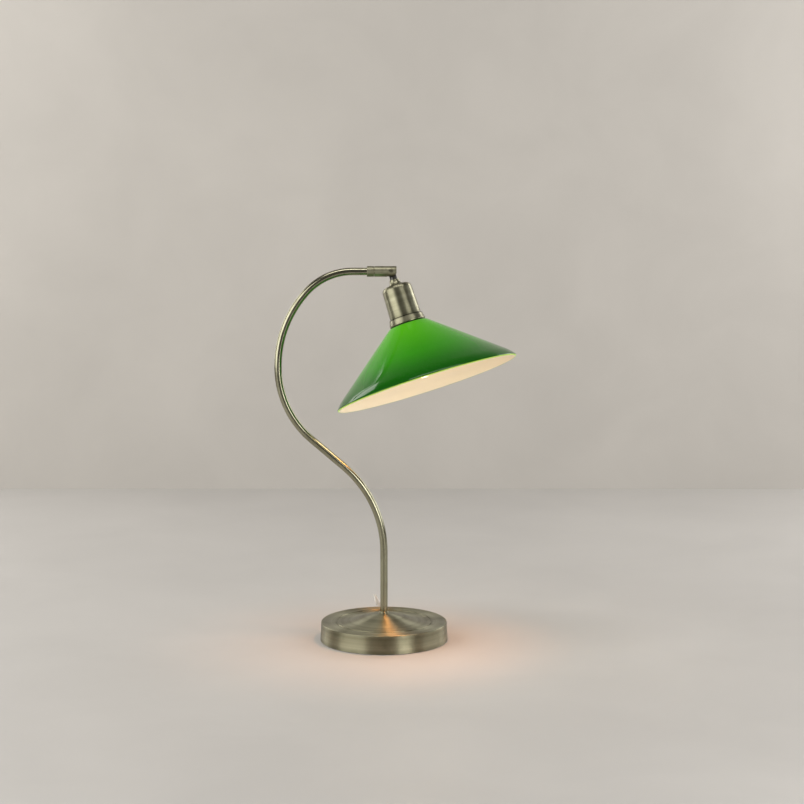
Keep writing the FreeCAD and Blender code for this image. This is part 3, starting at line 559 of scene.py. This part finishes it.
def sweptMesh(curve, name):
    seen = bpy.context.evaluated_depsgraph_get()
    mesh = bpy.data.meshes.new_from_object(curve.evaluated_get(seen), depsgraph=seen)
    mesh.name = name
    return mesh


def stretchOf(path, length):  # the points from the path's start that make up that length
    kept, run = [path[0]], 0.0
    for before, after in zip(path, path[1:]):
        run += (after - before).length
        kept.append(after)
        if run >= length:
            break
    return kept


def twinOutline(values):  # two round cores side by side, with a shallow groove between them
    data = bpy.data.curves.new("twinOutline", "CURVE")
    data.dimensions = "2D"
    core = values["thickness"] / 2
    offset = values["width"] / 2 - core
    dip, rise = core * values["groove"], core * values["shoulder"]
    out, up = (core * share for share in values["corner"])
    points = [(0, -dip), (offset / 2, -rise), (offset, -core), (offset + out, -up), (offset + core, 0)]
    points += [(x, -y) for x, y in reversed(points[:-1])]
    points += [(-x, y) for x, y in reversed(points[1:-1])]
    spline = data.splines.new("POLY")
    spline.points.add(len(points) - 1)
    for point, (x, y) in zip(spline.points, points):
        point.co = (x, y, 0, 1)
    spline.use_cyclic_u = True
    return addObject("twinOutline", data)


# a sleeve's length, its radius on the fitting and its radius at the end
sleeveValues = {"gland": (0.024, 0.0039, 0.0030), "plug": (0.013, 0.0042, 0.0029),
                "rib": 0.00035, "ribEvery": 4, "plainFrom": 0.9, "resolution": 6}


def sleeveAlong(name, path, size, finish, values):  # a ribbed, tapered sleeve on one end of the cord
    length, first, last = size
    path = stretchOf(path, length)
    data = bpy.data.curves.new(name, "CURVE")
    data.dimensions = "3D"
    data.bevel_depth = 1.0
    data.bevel_resolution = values["resolution"]
    data.use_fill_caps = True
    spline = data.splines.new("POLY")
    spline.points.add(len(path) - 1)
    for index, (point, spot) in enumerate(zip(spline.points, path)):
        point.co = (*spot, 1)
        share = index / (len(path) - 1)
        ribbed = index % values["ribEvery"] == 1 and 0 < share < values["plainFrom"]
        point.radius = first + (last - first) * share + (values["rib"] if ribbed else 0)
    sleeve = addObject(name, data)
    mesh = sweptMesh(sleeve, name)
    bpy.data.objects.remove(sleeve)
    addPiece(name, setSmooth(mesh), "base", [finish])


def makeCord(values):
    points = arch + coilTurns(values) + tail
    curve = makeRoute("cordRoute", points, values)
    line = sweptMesh(curve, "cordLine")
    path = [vertex.co.copy() for vertex in line.vertices]
    bpy.data.meshes.remove(line)
    outline = twinOutline(values)
    curve.data.bevel_mode = "OBJECT"
    curve.data.bevel_object = outline
    curve.data.use_fill_caps = True
    mesh = sweptMesh(curve, "twinCord")
    for helper in (curve, outline):
        bpy.data.objects.remove(helper)
    cord = addPiece("twinCord", setSmooth(mesh), "base", [finishes["clear_pvc"]])
    length = sum((after - before).length for before, after in zip(path, path[1:]))
    print("cord length", round(length, 3), "m,", len(path), "points")
    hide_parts("cord_arch", "cord_coil", "cord_tail")
    sleeveAlong("glandSleeve", path, sleeveValues["gland"], finishes["clear_pvc"], sleeveValues)
    sleeveAlong("plugSleeve", path[::-1], sleeveValues["plug"], finishes["white_pvc"], sleeveValues)


makeCord(cordValues)
print("cord laid")


shadeShape = {"top": 0.0731, "hole": 0.0194, "neck": 0.0258, "cone": 0.1116, "slope": 51.1, "rim": 0.1228,
              "lip": 0.012, "bulge": 0.0012, "wall": 0.003, "rounding": 0.0016, "edge": 0.0011,
              "edgeSegments": 3, "edgeAngle": 50, "roundSteps": 5, "coneSteps": 14, "lipSteps": 6,
              "steps": 160}


def curveThrough(start, handle, end, steps):  # a quadratic curve's points, without its first
    shares = [step / steps for step in range(1, steps + 1)]
    return [tuple((1 - t) ** 2 * a + 2 * t * (1 - t) * h + t * t * b for a, h, b in zip(start, handle, end))
            for t in shares]


def makeShade(values):
    slope = radians(values["slope"])
    run = (values["cone"] - values["neck"]) / sin(slope)
    coneEnd = (values["cone"], values["top"] + run * cos(slope))
    rim = (values["rim"], coneEnd[1] + values["lip"])
    bulge = values["bulge"]
    handle = ((coneEnd[0] + rim[0]) / 2 + bulge * cos(slope), (coneEnd[1] + rim[1]) / 2 - bulge * sin(slope))
    rounding = values["rounding"]
    start = (values["neck"] + rounding * sin(slope), values["top"] + rounding * cos(slope))
    outline = [(values["hole"], values["top"]), (values["neck"] - rounding, values["top"])]
    outline += curveThrough(outline[-1], (values["neck"], values["top"]), start, values["roundSteps"])
    outline += [tuple(a + (b - a) * step / values["coneSteps"] for a, b in zip(start, coneEnd))
                for step in range(1, values["coneSteps"])]
    outline += [coneEnd] + curveThrough(coneEnd, handle, rim, values["lipSteps"])
    work = bmesh.new()
    turnProfile(work, outline, values["steps"])
    shade = addPiece("glassShade", finishMesh(work, "glassShade", hang), "head",
                     [shadeOutside, shadeInside, litShadeEdge])
    wall = shade.modifiers.new("wall", "SOLIDIFY")
    wall.thickness = values["wall"]
    wall.offset = -1
    wall.use_even_offset = True
    wall.material_offset = 1
    wall.material_offset_rim = 2
    edge = shade.modifiers.new("edge", "BEVEL")
    edge.width = values["edge"]
    edge.segments = values["edgeSegments"]
    edge.limit_method = "ANGLE"
    edge.angle_limit = radians(values["edgeAngle"])
    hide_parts("shade_glass")


makeShade(shadeShape)
print("shade made")


stageValues = {"wallPlace": 1.1, "size": 6.0, "specular": 0.3, "shade": 0.93, "bump": 0.1,
               "floor": {"colour": (0.53, 0.515, 0.495), "roughness": (0.4, 0.5), "patchSize": 4,
                         "depth": 0.001},
               "wall": {"colour": (0.57, 0.545, 0.51), "roughness": (0.8, 0.9), "patchSize": 5,
                        "depth": 0.004}}


def makeStageFinish(name, colour, roughness, patchSize, depth, seeThroughBack=False):
    material, tree, shader = newFinish(name, Specular_IOR_Level=stageValues["specular"])
    place = objectPlace(tree)
    age = useGroup(tree, ageing, place, Dust=0.0)
    age.inputs["Patch Size"].default_value = patchSize
    deep = tuple(value * stageValues["shade"] for value in colour)
    tree.links.new(mixColour(tree, age.outputs["Patches"], deep, colour), shader.inputs["Base Color"])
    tree.links.new(spread(tree, age.outputs["Specks"], 0, 1, *roughness), shader.inputs["Roughness"])
    bumpInto(tree, shader, age.outputs["Patches"], stageValues["bump"], depth)
    if seeThroughBack:  # so that the backdrop doesn't stand in the way of a view from behind
        away = addNode(tree, "ShaderNodeNewGeometry")
        clear = addNode(tree, "ShaderNodeBsdfTransparent")
        choice = addNode(tree, "ShaderNodeMixShader")
        tree.links.new(away.outputs["Backfacing"], choice.inputs[0])
        tree.links.new(shader.outputs["BSDF"], choice.inputs[1])
        tree.links.new(clear.outputs["BSDF"], choice.inputs[2])
        tree.links.new(choice.outputs["Shader"], tree.nodes["Material Output"].inputs["Surface"])
    return material


def addSheet(name, size, finish, place=None):
    work = bmesh.new()
    bmesh.ops.create_grid(work, x_segments=1, y_segments=1, size=size)
    mesh = finishMesh(work, name, place, smooth=False)
    mesh.materials.append(finish)
    addObject(name, mesh)


def makeStage(values):
    upright = Matrix.Translation((0, values["wallPlace"], 0)) @ Matrix.Rotation(radians(90), 4, "X")
    addSheet("floor", values["size"], makeStageFinish("paleFloor", **values["floor"]))
    wallFinish = makeStageFinish("paleWall", **values["wall"], seeThroughBack=True)
    addSheet("backdrop", values["size"], wallFinish, upright)


lightValues = {
    "leftPanel": {"place": (-1.39, -0.8, 0.75), "size": (1.7, 1.3), "power": 20, "colour": (1, 0.98, 0.94)},
    "rightPanel": {"place": (0.98, -1.26, 0.5), "size": (0.7, 0.8), "power": 9, "colour": (1, 0.98, 0.94)},
    "rightFill": {"place": (1.6, 0.1, 0.6), "size": (1.2, 0.8), "power": 5, "colour": (0.97, 0.98, 1)},
    "overhead": {"place": (0.0, -0.45, 2.1), "size": (2.0, 0.6), "power": 17, "colour": (1, 0.97, 0.93)},
    "backLeft": {"place": (-1.15, 0.9, 0.75), "size": (0.5, 1.1), "power": 7, "colour": (1, 0.98, 0.95)},
    "backRight": {"place": (1.15, 0.9, 0.75), "size": (0.5, 1.1), "power": 7, "colour": (1, 0.98, 0.95)},
}
lightAim = Vector((0, 0, 0.3))
worldValues = {"colour": (0.75, 0.73, 0.7), "strength": 0.12}
bpy.context.scene.view_settings.view_transform = "Standard"


def makeLights(values):
    for name, light in values.items():
        data = bpy.data.lights.new(name, "AREA")
        data.shape = "RECTANGLE"
        data.size, data.size_y = light["size"]
        data.energy = light["power"]
        data.color = light["colour"]
        panel = addObject(name, data)
        panel.location = light["place"]
        aim = lightAim - Vector(light["place"])
        panel.rotation_euler = aim.to_track_quat("-Z", "Y").to_euler()


glowValues = {"down": 0.149, "aim": (0.0, -0.03, 0.03), "spread": 84, "power": 2.3, "colour": (1, 0.38, 0.11),
              "blend": 0.9, "softness": 0.022}


def makeGlow(values):  # the bulb's warm light on the base, which turns with the head
    data = bpy.data.lights.new("bulbGlow", "SPOT")
    data.energy = values["power"]
    data.color = values["colour"]
    data.spot_size = radians(values["spread"])
    data.spot_blend = values["blend"]
    data.shadow_soft_size = values["softness"]
    glow = addObject("bulbGlow", data)
    glow.location = hang @ Vector((0, 0, values["down"]))
    glow.rotation_euler = (Vector(values["aim"]) - glow.location).to_track_quat("-Z", "Y").to_euler()
    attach(glow, "head")


def makeWorld(values):
    world = bpy.data.worlds.new("studio")
    world.use_nodes = True
    background = world.node_tree.nodes["Background"]
    background.inputs["Color"].default_value = (*values["colour"], 1)
    background.inputs["Strength"].default_value = values["strength"]
    bpy.context.scene.world = world


makeStage(stageValues)
makeLights(lightValues)
makeGlow(glowValues)
makeWorld(worldValues)
print("stage lit")
